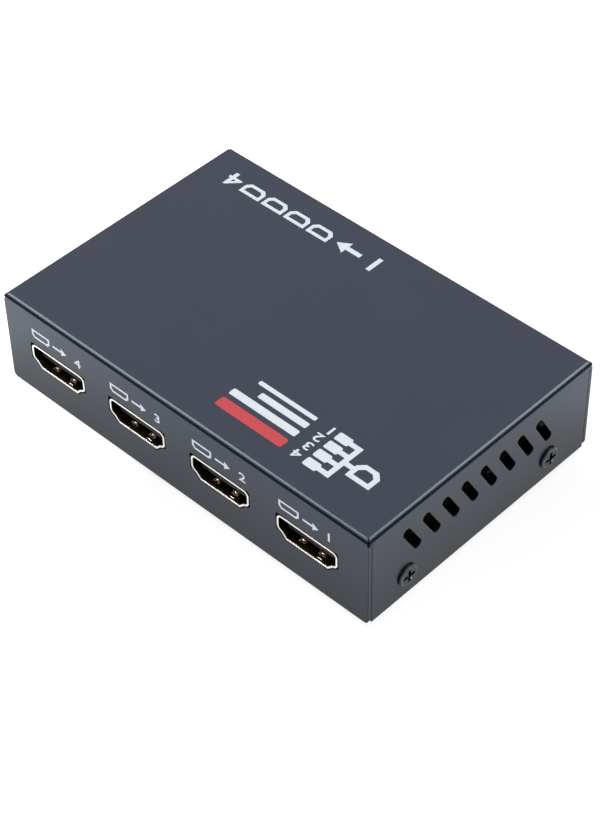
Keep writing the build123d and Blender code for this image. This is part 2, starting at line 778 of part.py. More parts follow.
# Regulator: a moulded body with a wide tab on one side and three leads on the other
with BuildPart() as regulator:
    with Locations(on_board(regulator_place_shares)):
        Box(regulator_length, regulator_width, regulator_height, align=standing)
        Box(
            regulator_tab_width,
            regulator_span / 2,
            regulator_lead_thickness,
            align=(Align.CENTER, Align.MIN, Align.MIN),
        )
        with GridLocations(regulator_lead_pitch, regulator_span, regulator_lead_count, 1):
            Box(
                regulator_lead_width,
                regulator_span / 2,
                regulator_lead_thickness,
                align=(Align.CENTER, Align.MAX, Align.MIN),
            )
regulator.part.label = "regulator"
export_step(regulator.part, "parts/regulator.step")

# Inductor: a shielded square block with cut corners
with BuildPart() as inductor:
    with BuildSketch(Plane(on_board(inductor_place_shares))) as inductor_outline:
        Rectangle(inductor_size, inductor_size)
        chamfer(inductor_outline.vertices(), inductor_corner_chamfer)
    extrude(amount=inductor_height)
inductor.part.label = "inductor"
export_step(inductor.part, "parts/inductor.step")

# Filter capacitors: cans that stand on moulded bases
with BuildPart() as filter_bases:
    for shares in filter_place_shares:
        with Locations(on_board(shares)):
            Box(filter_base_size, filter_base_size, filter_base_height, align=standing)
filter_bases.part.label = "filter_bases"
export_step(filter_bases.part, "parts/filter_bases.step")

with BuildPart() as filter_capacitors:
    for shares in filter_place_shares:
        with Locations(on_board(shares)):
            with Locations((0, 0, filter_base_height)):
                Cylinder(filter_radius, filter_height - filter_base_height, align=standing)
filter_capacitors.part.label = "filter_capacitors"
export_step(filter_capacitors.part, "parts/filter_capacitors.step")

# Surge protection arrays, two behind every receptacle's tails
with BuildPart() as surge_arrays:
    for (across, face, inward), side in product(mouths, (-1, 1)):
        with Locations((across + side * surge_spacing / 2, face + inward * surge_depth, board_top)):
            Box(surge_length, surge_width, surge_height, align=standing)
surge_arrays.part.label = "surge_arrays"
export_step(surge_arrays.part, "parts/surge_arrays.step")

# Chip resistors in front of and behind the splitter chip, chip capacitors on its two sides
with BuildPart() as chip_resistors:
    with Locations((0, 0, board_top)):
        with GridLocations(chip_part_pitch, splitter_size + 2 * chip_part_gap, resistor_count, 2):
            Box(chip_part_width, chip_part_length, resistor_height, align=standing)
chip_resistors.part.label = "chip_resistors"
export_step(chip_resistors.part, "parts/chip_resistors.step")

with BuildPart() as chip_capacitors:
    with Locations((0, 0, board_top)):
        with GridLocations(splitter_size + 2 * chip_part_gap, chip_part_pitch, 2, capacitor_count):
            Box(chip_part_length, chip_part_width, capacitor_height, align=standing)
chip_capacitors.part.label = "chip_capacitors"
export_step(chip_capacitors.part, "parts/chip_capacitors.step")
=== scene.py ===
import json
from math import cos, pi, sin

import bmesh
import bpy
from mathutils import Matrix, Vector


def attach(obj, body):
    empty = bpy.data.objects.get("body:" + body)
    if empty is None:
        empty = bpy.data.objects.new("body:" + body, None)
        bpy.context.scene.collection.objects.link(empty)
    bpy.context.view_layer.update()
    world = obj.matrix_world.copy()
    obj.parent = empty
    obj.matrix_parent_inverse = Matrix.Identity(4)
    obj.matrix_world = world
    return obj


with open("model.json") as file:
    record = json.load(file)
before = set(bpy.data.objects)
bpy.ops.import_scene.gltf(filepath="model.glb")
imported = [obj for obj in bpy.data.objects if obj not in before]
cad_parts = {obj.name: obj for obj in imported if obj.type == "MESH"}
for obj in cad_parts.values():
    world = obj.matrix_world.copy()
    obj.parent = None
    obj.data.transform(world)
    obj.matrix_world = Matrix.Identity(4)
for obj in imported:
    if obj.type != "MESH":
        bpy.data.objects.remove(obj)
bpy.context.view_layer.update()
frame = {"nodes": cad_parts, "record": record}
nodes = frame["nodes"]
scene = bpy.context.scene
mm = 0.001
print("frame in,", len(nodes), "nodes")


class Tint:
    # one socket of a node tree; a sum written on it adds its Math nodes
    def __init__(self, mixer, socket):
        self.mixer = mixer
        self.socket = socket

    def math(self, operation, *values):
        return self.mixer.add("ShaderNodeMath", {"operation": operation}, dict(enumerate(values)))

    def __add__(self, other):
        return self.math("ADD", self, other)

    def __sub__(self, other):
        return self.math("SUBTRACT", self, other)

    def __rsub__(self, other):
        return self.math("SUBTRACT", other, self)

    def __mul__(self, other):
        return self.math("MULTIPLY", self, other)

    def __truediv__(self, other):
        return self.math("DIVIDE", self, other)

    def __pow__(self, other):
        return self.math("POWER", self, other)

    def __gt__(self, other):
        return self.math("GREATER_THAN", self, other)

    def __lt__(self, other):
        return self.math("LESS_THAN", self, other)

    def __abs__(self):
        return self.math("ABSOLUTE", self)

    __radd__ = __add__
    __rmul__ = __mul__

    def larger(self, other):
        return self.math("MAXIMUM", self, other)

    def fraction(self):
        return self.math("FRACT", self)


class Mixer:
    # one node tree, and the one way in which nodes are added to it
    def __init__(self, tree):
        self.tree = tree

    def add(self, kind, settings=None, sockets=None, output=0):
        node = self.tree.nodes.new(kind)
        for name, value in (settings or {}).items():
            if name == "stops":
                self.setStops(node.color_ramp, value)
            else:
                setattr(node, name, value)
        for name, value in (sockets or {}).items():
            if isinstance(value, Tint):
                self.tree.links.new(value.socket, node.inputs[name])
            else:
                node.inputs[name].default_value = value
        return Tint(self, node.outputs[output])

    def setStops(self, ramp, stops):
        while len(ramp.elements) < len(stops):
            ramp.elements.new(0.5)
        for element, (place, grey) in zip(ramp.elements, stops):
            element.position = place
            element.color = (grey, grey, grey, 1)

    def place(self):
        return self.add("ShaderNodeTexCoord", output="Object")

    def parts(self, vector, axes):
        return [self.add("ShaderNodeSeparateXYZ", None, {0: vector}, axis) for axis in axes]

    def facing(self, axis):
        # how squarely the surface faces along an axis, from -1 to 1
        return self.parts(self.add("ShaderNodeNewGeometry", output="Normal"), axis)[0]

    def noise(self, size, detail=2.0, stretch=None):
        # size is how far apart the blotches are, in metres
        place = self.place()
        if stretch:
            place = self.add("ShaderNodeVectorMath", {"operation": "MULTIPLY"}, {0: place, 1: stretch})
        return self.add("ShaderNodeTexNoise", None, {"Vector": place, "Scale": 1 / size, "Detail": detail})

    def ramp(self, value, *stops):
        return self.add("ShaderNodeValToRGB", {"stops": stops}, {0: value})

    def blend(self, share, first, second):
        # sockets 0, 6 and 7 are the share and the two colours, output 2 the blended colour
        return self.add("ShaderNodeMix", {"data_type": "RGBA"}, {0: share, 6: first, 7: second}, 2)

    def softEdge(self, radius):
        return self.add("ShaderNodeBevel", {"samples": 4}, {"Radius": radius})

    def edgeWear(self, radius, none=0.004, full=0.12):
        # 1 on an edge sharper than the radius, 0 on a flat
        soft = self.softEdge(radius)
        flat = self.add("ShaderNodeNewGeometry", output="Normal")
        same = self.add("ShaderNodeVectorMath", {"operation": "DOT_PRODUCT"}, {0: soft, 1: flat}, "Value")
        return self.ramp(1 - same, (none, 0.0), (full, 1.0))

    def gloss(self, settings, share):
        # rough is the least roughness and how much the share adds to it
        least, span = settings["rough"]
        return least + span * share

    def relief(self, settings, height):
        # a fine relief of this depth, over edges rounded by the finish's edge radius
        sockets = {"Height": height, "Distance": settings["depth"], "Strength": settings["strength"]}
        if "edge" in settings:
            sockets["Normal"] = self.softEdge(settings["edge"])
        return self.add("ShaderNodeBump", None, sockets)


class Finish(Mixer):
    # one material and its shader
    def __init__(self, name, **shader):
        self.material = bpy.data.materials.new(name)
        self.material.use_nodes = True
        super().__init__(self.material.node_tree)
        self.shader = self.tree.nodes["Principled BSDF"]
        for socket, value in shader.items():
            self.shader.inputs[socket.replace("_", " ")].default_value = value

    def feed(self, **values):
        for socket, value in values.items():
            self.tree.links.new(value.socket, self.shader.inputs[socket.replace("_", " ")])
        return self.material


def shade(red, green, blue):
    return (red, green, blue, 1.0)


def standAt(place, right, up, back):
    # the matrix that brings something to a place, with its own three axes along these directions
    return Matrix.Translation(place) @ Matrix((right, up, back)).transposed().to_4x4()


# the case's own measures, in millimetres from the middle of its underside
case = {
    "outputs": (32.6, 10.7, -11.2, -33.1),  # along the front wall
    "input": -11.2,  # along the back wall
    "side": 47.4,
    "wall": 30.75,
    "top": 22.9,
}

# camera: solved from the case's outline, its folds and the receptacles' rims
cameraSettings = {
    "lens": 99.918,
    "sensor": 36,
    "nearest": 0.01,
    "place": (0.2209055, -0.22393578, 0.3115409),
    "right": (0.724020411, 0.689629319, -0.014347334),
    "down": (0.477127560, -0.515725856, -0.711601106),
    "ahead": (-0.498140277, 0.508368217, -0.702437200),
}


def setCamera(settings):
    data = bpy.data.cameras.new("camera")
    data.sensor_width = settings["sensor"]
    data.lens = settings["lens"]
    data.clip_start = settings["nearest"]
    camera = bpy.data.objects.new("camera", data)
    right, down, ahead = (Vector(settings[name]) for name in ("right", "down", "ahead"))
    camera.matrix_world = standAt(settings["place"], right, -down, -ahead)
    scene.collection.objects.link(camera)
    scene.camera = camera


setCamera(cameraSettings)

# studio: a pale room that is darker towards the horizon, a broad lamp above, a long one over each of the
# two folds that the camera sees and a small one low at the far end of each wall; the floor glows, least
# beside the case's near corner, and a pool is how brightly by distance from there in metres
studio = {
    "room": [(0.0, 0.10), (0.50, 0.04), (0.62, 0.08), (0.76, 0.85), (1.0, 0.95)],
    "lamps": [
        {"name": "overhead", "place": (0.05, -0.10, 0.90), "aim": (0, 0, 0), "along": (0, 1, 0),
         "size": (0.60, 0.60), "power": 0.4},
        {"name": "frontFold", "place": (-0.375, -0.150, 0.556), "aim": (0, -0.03, 0.02),
         "along": (0, 0.47, 0.12), "size": (0.30, 0.44), "power": 5.8},
        {"name": "sideFold", "place": (0.20, 0.39, 0.532), "aim": (0.047, 0, 0.02),
         "along": (0.45, 0, -0.14), "size": (0.24, 0.44), "power": 4.4},
        {"name": "frontEnd", "place": (-0.24, -0.26, 0.14), "aim": (-0.05, -0.03, 0.01),
         "along": (0, 0, 1), "size": (0.12, 0.12), "power": 0.50, "mirrored": False},
        {"name": "sideEnd", "place": (0.26, 0.28, 0.14), "aim": (0.05, 0.03, 0.01),
         "along": (0, 0, 1), "size": (0.12, 0.12), "power": 0.36, "mirrored": False},
    ],
    "reach": 4.0,
    "middle": (0.047, -0.031, 0.0),
    "floor": {
        "height": -0.02 * mm, "glow": 1.45, "rough": 0.8, "grain": 0.05,
        "colour": shade(0.08, 0.08, 0.08), "paler": shade(0.09, 0.09, 0.09),
        "pool": [(0.0, 0.60), (0.055, 0.57), (0.078, 0.70), (0.10, 0.95), (0.16, 1.0), (0.25, 0.60),
                 (0.5, 0.38), (1.0, 0.34)],
    },
    "mirrored": {
        "height": -0.03 * mm, "glow": 1.88, "fade": 20 * mm, "fadeStops": ((0.02, 0.0), (0.72, 1.0)),
        "beside": shade(0.65, 0.665, 0.60), "away": shade(1.12, 1.195, 1.31),
        "pool": [(0.0, 0.57), (0.055, 0.55), (0.078, 0.65), (0.10, 0.84), (0.16, 0.88), (0.25, 0.57),
                 (0.5, 0.40), (1.0, 0.37)],
    },
}


def setRoom(stops):
    world = bpy.data.worlds.new("room")
    world.use_nodes = True
    room = Mixer(world.node_tree)
    height, = room.parts(room.add("ShaderNodeTexCoord", output="Generated"), "Z")
    light = room.ramp(height * 0.5 + 0.5, *stops)  # 0 straight down, 0.5 at the horizon, 1 straight up
    backdrop = world.node_tree.nodes["Background"]
    room.tree.links.new(light.socket, backdrop.inputs["Color"])
    scene.world = world


def hangLamp(lamp):
    data = bpy.data.lights.new(lamp["name"], "AREA")
    data.shape = "RECTANGLE"
    data.size, data.size_y = lamp["size"]
    data.energy = lamp["power"]
    light = bpy.data.objects.new(lamp["name"], data)
    back = (Vector(lamp["place"]) - Vector(lamp["aim"])).normalized()
    wide = Vector(lamp["along"]).cross(back).normalized()
    light.matrix_world = standAt(lamp["place"], wide, back.cross(wide), back)
    light.visible_glossy = lamp.get("mirrored", True)
    scene.collection.objects.link(light)


def layFloor(name, finish, reach, height):
    sheet = bmesh.new()
    corners = ((-reach, -reach), (reach, -reach), (reach, reach), (-reach, reach))
    sheet.faces.new([sheet.verts.new((x, y, height)) for x, y in corners])
    mesh = bpy.data.meshes.new(name)
    sheet.to_mesh(mesh)
    sheet.free()
    mesh.materials.append(finish)
    floor = bpy.data.objects.new(name, mesh)
    scene.collection.objects.link(floor)
    return floor


def poolOfLight(floor, middle, stops):
    sockets = {0: floor.place(), 1: middle}
    return floor.ramp(floor.add("ShaderNodeVectorMath", {"operation": "DISTANCE"}, sockets, "Value"), *stops)


def makePaleFloor(settings, middle):
    pale = Finish("paleFloor", Roughness=settings["rough"], Emission_Strength=settings["glow"])
    colour = pale.blend(pale.noise(settings["grain"]), settings["colour"], settings["paler"])
    return pale.feed(Base_Color=colour, Emission_Color=poolOfLight(pale, middle, settings["pool"]))


def makeMirroredFloor(settings, middle):
    black = shade(0, 0, 0)
    floor = Finish("mirroredFloor", Base_Color=black, Specular_IOR_Level=0.0,
                   Emission_Strength=settings["glow"])
    x, y = floor.parts(floor.place(), "XY")
    # the sheet glows least beside the case, a painted shadow for the walls to mirror
    beyondSide = (abs(x) - case["side"] * mm).larger(0.0)
    beyondWall = (abs(y) - case["wall"] * mm).larger(0.0)
    outside = (beyondSide ** 2 + beyondWall ** 2) ** 0.5 / settings["fade"]
    colour = floor.blend(floor.ramp(outside, *settings["fadeStops"]), settings["beside"], settings["away"])
    return floor.feed(Emission_Color=floor.blend(poolOfLight(floor, middle, settings["pool"]), black, colour))


def setStudio(settings):
    scene.view_settings.view_transform = "Standard"
    setRoom(settings["room"])
    for lamp in settings["lamps"]:
        hangLamp(lamp)
    reach, middle = settings["reach"], settings["middle"]
    paleFloor = makePaleFloor(settings["floor"], middle)
    floor = layFloor("floor", paleFloor, reach, settings["floor"]["height"])
    floor.visible_glossy = False
    # walls and rims mirror a glowing sheet of their own, no lamp, which dims beside the case: a painted
    # shadow and tint seen only in reflections
    mirroredFloor = makeMirroredFloor(settings["mirrored"], middle)
    mirrored = layFloor("mirroredFloor", mirroredFloor, reach, settings["mirrored"]["height"])
    mirrored.visible_camera = mirrored.visible_diffuse = mirrored.visible_shadow = False


setStudio(studio)
print("camera and studio set")


# finishes; in each dictionary cloud, patch and grain are sizes, depth is the relief's and edge a radius
powderCoat = {
    "colour": shade(0.0165, 0.0187, 0.0290), "paler": shade(0.0188, 0.0213, 0.0315),
    # the lighter colour of edges where the coat's paint is rubbed, real wear
    "wearAndHighlight": shade(0.075, 0.080, 0.100), "specular": 0.235, "tint": shade(0.86, 0.95, 1.0),
    "rough": (0.17, 0.06), "rubShine": 0.04,
    "cloud": 14 * mm, "patch": 3.0 * mm, "patchStops": ((0.35, 0.0), (0.7, 0.4)),
    "speck": 0.16 * mm, "speckStops": ((0.6, 0.0), (0.75, 0.35)),
    "peel": 0.9 * mm, "depth": 0.010 * mm, "strength": 0.6, "edge": 0.22 * mm,
    # slot: a painted shade, near black, on the vent slots' cut walls
    "slot": {"colour": shade(0.004, 0.004, 0.005), "inner": 46.4 * mm, "end": 28 * mm, "low": 10.5 * mm,
             "high": 19.5 * mm, "turned": 0.4},
    # corner line and share draw a painted shade down the corners, fold a painted dark reflection under the
    # folds; clean keeps the edge wear off the corners
    "corner": {"clean": 1.2 * mm, "line": 0.15 * mm, "share": 0.2},
    "fold": {"colour": shade(0.003, 0.003, 0.004), "upright": 0.5,
             "stops": ((0.02, 0.0), (0.14, 0.9), (0.50, 0.9), (0.64, 0.0))},
}


def onSlotWalls(coat, slot):
    # 1 on the cut walls of the vent slots, which take a painted shade, near black
    x, y, z = coat.parts(coat.place(), "XYZ")
    beside = (abs(x) > slot["inner"]) * (abs(y) < slot["end"])
    level = (z > slot["low"]) * (z < slot["high"])
    return beside * level * (abs(coat.facing("X")) < slot["turned"])


def nearCorner(coat, reach):
    # 1 within reach of the four upright corners
    x, y = coat.parts(coat.place(), "XY")
    return (abs(x) > case["side"] * mm - reach) * (abs(y) > case["wall"] * mm - reach)


def makePowderCoat(settings):
    coat = Finish("powderCoat", Specular_IOR_Level=settings["specular"], Specular_Tint=settings["tint"])
    cloud = coat.noise(settings["cloud"], detail=3.0)
    speck = coat.ramp(coat.noise(settings["speck"], detail=1.0), *settings["speckStops"])
    patch = coat.ramp(coat.noise(settings["patch"], detail=3.0), *settings["patchStops"])
    slot, corner, fold = settings["slot"], settings["corner"], settings["fold"]
    rub = coat.edgeWear(settings["edge"]) * patch * (1 - nearCorner(coat, corner["clean"]))
    colour = coat.blend(cloud, settings["colour"], settings["paler"])
    colour = coat.blend(speck, colour, settings["paler"])
    colour = coat.blend(rub, colour, settings["wearAndHighlight"])
    # painted shade: the vent slots' cut walls go near black
    colour = coat.blend(onSlotWalls(coat, slot), colour, slot["colour"])
    # a line of painted dark reflection runs under every fold and, fainter, a line of painted shade down every
    # corner; its Metallic share takes the coat's shine away there too
    up = coat.facing("Z")
    upright = nearCorner(coat, corner["line"]) * (up < fold["upright"])
    line = coat.ramp(up, *fold["stops"]).larger(upright * corner["share"])
    return coat.feed(Base_Color=coat.blend(line, colour, fold["colour"]), Metallic=line,
                     Roughness=coat.gloss(settings, cloud) - settings["rubShine"] * rub,
                     Normal=coat.relief(settings, coat.noise(settings["peel"])))


blackZinc = {
    # side is a painted shade for the head's rim and recess, and the palest colour a painted highlight
    "colour": shade(0.054, 0.055, 0.061), "side": shade(0.006, 0.006, 0.008), "highlightColour": shade(0.55, 0.55, 0.57),
    "axes": (-20.5 * mm, 19.2 * mm), "height": 6.3 * mm,  # where the screws stand
    "face": 48.0 * mm, "recess": 1.52 * mm, "sideStops": ((0.3, 1.0), (0.6, 0.0)),
    "ring": 2.02 * mm, "ringStops": ((0.05, 0.22), (0.14, 0.0)),
    "glint": (0.45 * mm, -0.95 * mm), "glintRadius": 0.27 * mm,
    "grain": 0.25 * mm, "grainStops": ((0.3, 0.4), (0.6, 1.0)),
    "rough": (0.25, 0.2), "depth": 0.01 * mm, "strength": 0.5, "edge": 0.1 * mm,
}


def makeBlackZinc(settings):
    # the face mirrors like the coat; the head's rim and the cross recess are painted near black, a painted
    # shade, and a light ring round the face and a glint beside the cross are painted highlights
    zinc = Finish("blackZinc", Metallic=1.0)
    grain = zinc.noise(settings["grain"])
    x, y, z = zinc.parts(zinc.place(), "XYZ")
    front, back = settings["axes"]
    across = (y > 0) * (y - back) + (y < 0) * (y - front)
    above = z - settings["height"]
    out = (across ** 2 + above ** 2) ** 0.5
    recess = (out < settings["recess"]) * (abs(x) < settings["face"])
    # painted shade on the head's side and in its cross recess
    dark = zinc.ramp(abs(zinc.facing("X")), *settings["sideStops"]).larger(recess)
    glintAcross, glintAbove = settings["glint"]
    fromGlint = ((across - glintAcross) ** 2 + (above - glintAbove) ** 2) ** 0.5
    # painted highlight: a light ring round the face and a glint beside the cross
    wearAndHighlight = zinc.ramp(abs(out - settings["ring"]) / mm, *settings["ringStops"])
    wearAndHighlight = wearAndHighlight.larger(fromGlint < settings["glintRadius"])
    colour = zinc.blend(dark, settings["colour"], settings["side"])
    colour = zinc.blend(wearAndHighlight * zinc.ramp(grain, *settings["grainStops"]), colour, settings["highlightColour"])
    return zinc.feed(Base_Color=colour, Roughness=zinc.gloss(settings, grain),
                     Normal=zinc.relief(settings, grain))


padRubber = {"colour": shade(0.018, 0.018, 0.018), "dust": shade(0.05, 0.05, 0.048), "specular": 0.3,
             "grain": 0.12 * mm, "patch": 2.5 * mm, "patchStops": ((0.45, 0.0), (0.8, 0.8)),
             "rough": (0.78, 0.15), "depth": 0.04 * mm, "strength": 0.7, "edge": 0.2 * mm}


def makeRubber(settings):
    rubber = Finish("padRubber", Specular_IOR_Level=settings["specular"])
    grain = rubber.noise(settings["grain"], detail=3.0)
    dust = rubber.ramp(rubber.noise(settings["patch"], detail=3.0), *settings["patchStops"])
    return rubber.feed(Base_Color=rubber.blend(dust, settings["colour"], settings["dust"]),
                       Roughness=rubber.gloss(settings, grain), Normal=rubber.relief(settings, grain))


boardMask = {
    "colour": shade(0.004, 0.014, 0.012), "track": shade(0.007, 0.024, 0.020),
    "core": shade(0.050, 0.048, 0.040), "coat": 0.3, "top": 8.7 * mm, "thickness": 1.6 * mm,
    "skin": 0.03 * mm, "grid": 2.3 * mm, "bend": 9 * mm, "swayX": 4 * mm, "swayY": 3 * mm,
    "trackStops": ((0.38, 0.0), (0.42, 1.0)), "patch": 7 * mm, "patchStops": ((0.48, 0.0), (0.5, 1.0)),
    "rough": (0.3, 0.25), "depth": 0.03 * mm, "strength": 0.8,
}


def makeBoardMask(settings):
    # tracks run along X in some patches and along Y in the others
    board = Finish("boardMask", Coat_Weight=settings["coat"])
    x, y, z = board.parts(board.place(), "XYZ")
    bend = board.noise(settings["bend"], detail=0.0)
    across = (x + settings["swayX"] * bend) / settings["grid"]
    along = (y - settings["swayY"] * bend) / settings["grid"]
    ways = (across, along)
    lines, crossing = (board.ramp(abs(way.fraction() - 0.5), *settings["trackStops"]) for way in ways)
    choice = board.ramp(board.noise(settings["patch"], detail=1.0), *settings["patchStops"])
    track = lines * choice + crossing * (1 - choice)
    bottom = settings["top"] - settings["thickness"]
    edge = (z > bottom + settings["skin"]) * (z < settings["top"] - settings["skin"])
    colour = board.blend(track, settings["colour"], settings["track"])
    return board.feed(Base_Color=board.blend(edge, colour, settings["core"]),
                      Roughness=board.gloss(settings, edge), Normal=board.relief(settings, track))


nickel = {"colour": shade(0.56, 0.55, 0.52), "dull": shade(0.40, 0.39, 0.37), "cloud": 1.6 * mm,
          "grain": 0.2 * mm, "stretch": (1, 1, 0.1), "rough": (0.22, 0.2), "depth": 0.006 * mm,
          "strength": 0.6, "edge": 0.08 * mm}


def makeNickel(settings):
    plate = Finish("nickelPlate", Metallic=1.0)
    cloud = plate.noise(settings["cloud"], detail=4.0)
    drawn = plate.noise(settings["grain"], stretch=settings["stretch"])
    return plate.feed(Base_Color=plate.blend(cloud, settings["colour"], settings["dull"]),
                      Roughness=plate.gloss(settings, drawn), Normal=plate.relief(settings, drawn))


rimGold = {
    "colour": shade(0.96, 0.92, 0.86), "pale": shade(0.98, 0.96, 0.93), "dull": shade(0.90, 0.83, 0.73),
    # the deepest colour is a painted shade for the shell beyond the mouth and on its roof
    "inside": shade(0.25, 0.17, 0.105), "mouth": 30.72 * mm, "fade": 0.20 * mm, "roof": 13.9 * mm,
    "upward": 0.5, "wear": 0.1 * mm, "cloud": 1.2 * mm, "grain": 0.15 * mm, "stretch": (1, 0.08, 1),
    "rough": (0.14, 0.14), "depth": 0.006 * mm, "strength": 0.5, "edge": 0.07 * mm,
}


def makeRimGold(settings):
    # bright round the mouth, with a painted shade that darkens the shell deeper than the mouth and on its
    # roof
    flash = Finish("rimGold", Metallic=1.0)
    cloud = flash.noise(settings["cloud"], detail=3.0)
    drawn = flash.noise(settings["grain"], stretch=settings["stretch"])
    y, z = flash.parts(flash.place(), "YZ")
    # painted shade: darker with depth behind the mouth, and on the roof
    inside = flash.ramp((settings["mouth"] - abs(y)) / settings["fade"], (0.0, 0.0), (1.0, 1.0))
    inside = inside.larger((z > settings["roof"]) * (flash.facing("Z") > settings["upward"]))
    colour = flash.blend(cloud, settings["colour"], settings["dull"])
    colour = flash.blend(flash.edgeWear(settings["wear"]) * (1 - inside), colour, settings["pale"])
    return flash.feed(Base_Color=flash.blend(inside, colour, settings["inside"]),
                      Roughness=flash.gloss(settings, drawn), Normal=flash.relief(settings, drawn))


mouldedBlack = {"colour": shade(0.007, 0.006, 0.0055), "grey": shade(0.013, 0.0115, 0.010), "specular": 0.08,
                "cloud": 2.0 * mm, "grain": 0.09 * mm, "rough": (0.42, 0.2), "depth": 0.012 * mm,
                "strength": 0.6, "edge": 0.12 * mm}


def makeMouldedBlack(settings):
    plastic = Finish("mouldedBlack", Specular_IOR_Level=settings["specular"])
    grain = plastic.noise(settings["grain"])
    flow = plastic.noise(settings["cloud"], detail=3.0)
    return plastic.feed(Base_Color=plastic.blend(flow, settings["colour"], settings["grey"]),
                        Roughness=plastic.gloss(settings, grain), Normal=plastic.relief(settings, grain))


lens = {"colour": shade(0.55, 0.03, 0.02), "deep": shade(0.22, 0.008, 0.006), "coat": 0.6,
        "cloud": 0.8 * mm, "rough": (0.08, 0.1), "edge": 0.25 * mm}


def makeLens(settings):
    clear = Finish("lightLens", Coat_Weight=settings["coat"])
    cloud = clear.noise(settings["cloud"])
    return clear.feed(Base_Color=clear.blend(cloud, settings["colour"], settings["deep"]),
                      Roughness=clear.gloss(settings, cloud), Normal=clear.softEdge(settings["edge"]))


chipEpoxy = {"colour": shade(0.016, 0.016, 0.018), "pale": shade(0.034, 0.034, 0.036), "cloud": 1.5 * mm,
             "grain": 0.05 * mm, "grainShare": 0.6, "rough": (0.52, 0.2), "depth": 0.008 * mm,
             "strength": 0.7}


def makeChipEpoxy(settings):
    epoxy = Finish("chipEpoxy")
    grit = epoxy.noise(settings["grain"])
    flow = epoxy.noise(settings["cloud"])
    share = grit * settings["grainShare"] + flow * (1 - settings["grainShare"])
    return epoxy.feed(Base_Color=epoxy.blend(share, settings["colour"], settings["pale"]),
                      Roughness=epoxy.gloss(settings, grit), Normal=epoxy.relief(settings, grit))


def makeGrained(name, settings):
    # colour, gloss and relief all follow one grain
    finish = Finish(name, Metallic=settings["metallic"])
    grain = finish.noise(settings["grain"], settings["detail"], settings.get("stretch"))
    return finish.feed(Base_Color=finish.blend(grain, settings["colour"], settings["other"]),
                       Roughness=finish.gloss(settings, grain), Normal=finish.relief(settings, grain))


contactGold = {"colour": shade(0.83, 0.58, 0.22), "other": shade(0.90, 0.72, 0.40), "metallic": 1.0,
               "grain": 0.6 * mm, "detail": 3.0, "rough": (0.18, 0.16), "depth": 0.005 * mm, "strength": 0.5}
canSteel = {"colour": shade(0.60, 0.59, 0.57), "other": shade(0.42, 0.41, 0.40), "metallic": 1.0,
            "grain": 0.18 * mm, "detail": 3.0, "stretch": (0.08, 1, 1), "rough": (0.2, 0.25),
            "depth": 0.004 * mm, "strength": 0.6}
ferrite = {"colour": shade(0.045, 0.045, 0.047), "other": shade(0.09, 0.09, 0.09), "metallic": 0.0,
           "grain": 0.08 * mm, "detail": 4.0, "rough": (0.65, 0.2), "depth": 0.02 * mm, "strength": 0.8}
canAluminium = {"colour": shade(0.66, 0.67, 0.68), "other": shade(0.48, 0.48, 0.50), "metallic": 1.0,
                "grain": 0.14 * mm, "detail": 3.0, "stretch": (1, 1, 0.07), "rough": (0.26, 0.2),
                "depth": 0.005 * mm, "strength": 0.6}
firedCeramic = {"colour": shade(0.36, 0.24, 0.13), "other": shade(0.48, 0.34, 0.20), "metallic": 0.0,
                "grain": 0.1 * mm, "detail": 3.0, "rough": (0.42, 0.2), "depth": 0.01 * mm, "strength": 0.6}
# the dimples and the lip in the palest gold, a painted highlight, so they glint against the shell's painted
# shade
glintGold = {"colour": rimGold["pale"], "other": rimGold["colour"], "metallic": 1.0, "grain": 0.3 * mm,
              "detail": 2.0, "rough": (0.2, 0.15), "depth": 0.004 * mm, "strength": 0.5}

finishOfSlot = {
    "powder_coat": makePowderCoat(powderCoat),
    "black_screw": makeBlackZinc(blackZinc),
    "rubber": makeRubber(padRubber),
    "board": makeBoardMask(boardMask),
    "plated_steel": makeNickel(nickel),
    "receptacle_metal": makeRimGold(rimGold),
    "black_plastic": makeMouldedBlack(mouldedBlack),
    "gold_contacts": makeGrained("contactGold", contactGold),
    "light_lens": makeLens(lens),
    "chip_body": makeChipEpoxy(chipEpoxy),
    "crystal_can": makeGrained("canSteel", canSteel),
    "ferrite": makeGrained("ferrite", ferrite),
    "capacitor_can": makeGrained("canAluminium", canAluminium),
    "ceramic": makeGrained("firedCeramic", firedCeramic),
}


def dressNodes():
    # every node takes the finish that the record names for it
    slotOfNode = {part["node"]: part["material_slot"] for part in frame["record"]["subparts"]}
    for name, piece in nodes.items():
        piece.data.materials.clear()
        piece.data.materials.append(finishOfSlot[slotOfNode[name]])


dressNodes()
print("nodes dressed")


# printed marks: plain numbers and simple diagrams in thin ink on the coat
ink = {
    "white": shade(0.305, 0.32, 0.35), "pale": shade(0.52, 0.54, 0.59), "red": shade(0.235, 0.007, 0.011),
    "thin": 0.86, "screen": 0.12 * mm, "patch": 1.5 * mm, "rough": (0.42, 0.15), "depth": 0.006 * mm,
    "strength": 0.5, "lift": 0.02 * mm, "thickness": 0.012 * mm,
    "digitWeight": 0.016, "digitSteps": 6,
    "cut": 0.30, "innerCut": 0.4,  # of a receptacle's lower corners, by its height and by the line
    "wing": 0.62,  # half the width of an arrow's head by its length
}


def makeInk(name, colour, settings):
    printed = Finish(name)
    screen = printed.noise(settings["screen"])
    patch = printed.noise(settings["patch"])
    thin = shade(*(settings["thin"] * part for part in colour[:3]))
    return printed.feed(Base_Color=printed.blend(0.5 * screen + 0.5 * patch, colour, thin),
                        Roughness=printed.gloss(settings, screen), Normal=printed.relief(settings, screen))


whiteInk = makeInk("whiteInk", ink["white"], ink)
paleInk = makeInk("paleInk", ink["pale"], ink)
redInk = makeInk("redInk", ink["red"], ink)


def addPiece(name, sheet, finish, move=None):
    # sheet is a bmesh in the part's frame, or in its own frame with the move that brings it there
    mesh = bpy.data.meshes.new(name)
    sheet.to_mesh(mesh)
    sheet.free()
    if move:
        mesh.transform(move)
    mesh.materials.append(finish)
    piece = bpy.data.objects.new(name, mesh)
    scene.collection.objects.link(piece)
    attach(piece, "root")


